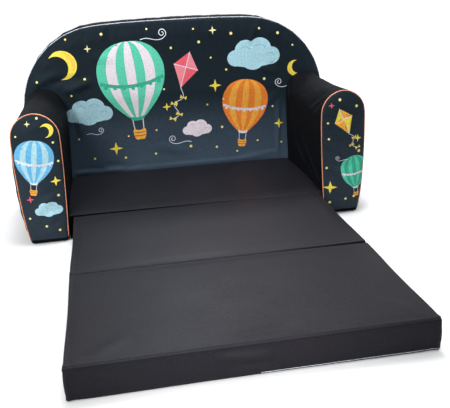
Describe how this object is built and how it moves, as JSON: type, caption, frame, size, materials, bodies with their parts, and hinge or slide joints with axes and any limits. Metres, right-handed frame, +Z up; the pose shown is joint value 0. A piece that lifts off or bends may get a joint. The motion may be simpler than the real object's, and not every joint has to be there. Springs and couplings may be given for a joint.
{
  "type": "children's fold-out sofa",
  "caption": "Low foam sofa for a small child, with a round-cornered backrest, two arms and a seat that folds out into a mattress.",
  "frame": {"origin": "on the floor, under the middle of the unfolded sofa's box", "axes": "+X to the right of someone who faces the sofa, -Y towards the front, +Z up"},
  "size_m": [0.7702, 0.9942, 0.434],
  "materials": {
    "printed_cloth": "navy woven polyester with a printed night sky",
    "charcoal_cloth": "plain charcoal microfibre with a soft sheen",
    "black_cloth": "plain black woven polyester",
    "peach_piping": "peach cotton piping",
    "pale_piping": "pale grey cotton piping",
    "foam": "open-cell polyurethane foam",
    "zip_tape": "black woven zip tape with a nylon coil",
    "zip_metal": "dull nickel-plated zinc"
  },
  "bodies": {
    "sofa_body": {"back_foam": "foam", "back_front_panel": "printed_cloth", "back_border": "black_cloth", "back_rear_panel": "black_cloth", "back_base_panel": "black_cloth", "back_piping": "pale_piping", "back_zip_chain": "zip_tape", "left_arm_foam": "foam", "left_arm_front_panel": "printed_cloth", "left_arm_wrap": "black_cloth", "left_arm_rear_panel": "black_cloth", "left_arm_base_panel": "black_cloth", "left_arm_piping": "peach_piping", "right_arm_foam": "foam", "right_arm_front_panel": "printed_cloth", "right_arm_wrap": "black_cloth", "right_arm_rear_panel": "black_cloth", "right_arm_base_panel": "black_cloth", "right_arm_piping": "peach_piping", "base_panel_foam": "foam", "base_panel_top_cover": "charcoal_cloth", "base_panel_border": "charcoal_cloth", "base_panel_underside": "black_cloth", "middle_fold_strip": "charcoal_cloth"},
    "middle_section": {"middle_panel_foam": "foam", "middle_panel_top_cover": "charcoal_cloth", "middle_panel_border": "charcoal_cloth", "middle_panel_underside": "black_cloth", "end_fold_strip": "charcoal_cloth"},
    "end_section": {"end_panel_foam": "foam", "end_panel_top_cover": "charcoal_cloth", "end_panel_border": "charcoal_cloth", "end_panel_underside": "black_cloth"},
    "slider": {"zip_slider": "zip_metal"},
    "pull": {"zip_pull": "zip_metal"}
  },
  "joints": [
    {"name": "middle_fold", "type": "hinge", "parent": "sofa_body", "child": "middle_section", "pos_m": [0, 0.10335, 0.0603], "axis": [-1, 0, 0], "range_deg": [0, 180]},
    {"name": "end_fold", "type": "hinge", "parent": "middle_section", "child": "end_section", "pos_m": [0, -0.19765, -0.0005], "axis": [-1, 0, 0], "range_deg": [-180, 0]},
    {"name": "zip_travel", "type": "slide", "parent": "sofa_body", "child": "slider", "axis": [-1, 0, 0], "range_m": [0, 0.54]},
    {"name": "pull_turn", "type": "hinge", "parent": "slider", "child": "pull", "pos_m": [0.27002, 0.49305, 0.036], "axis": [0, 0, -1], "range_deg": [0, 180]}
  ],
  "couplings": [
    {"joint": "end_fold", "follows": "middle_fold", "ratio": -1}
  ]
}
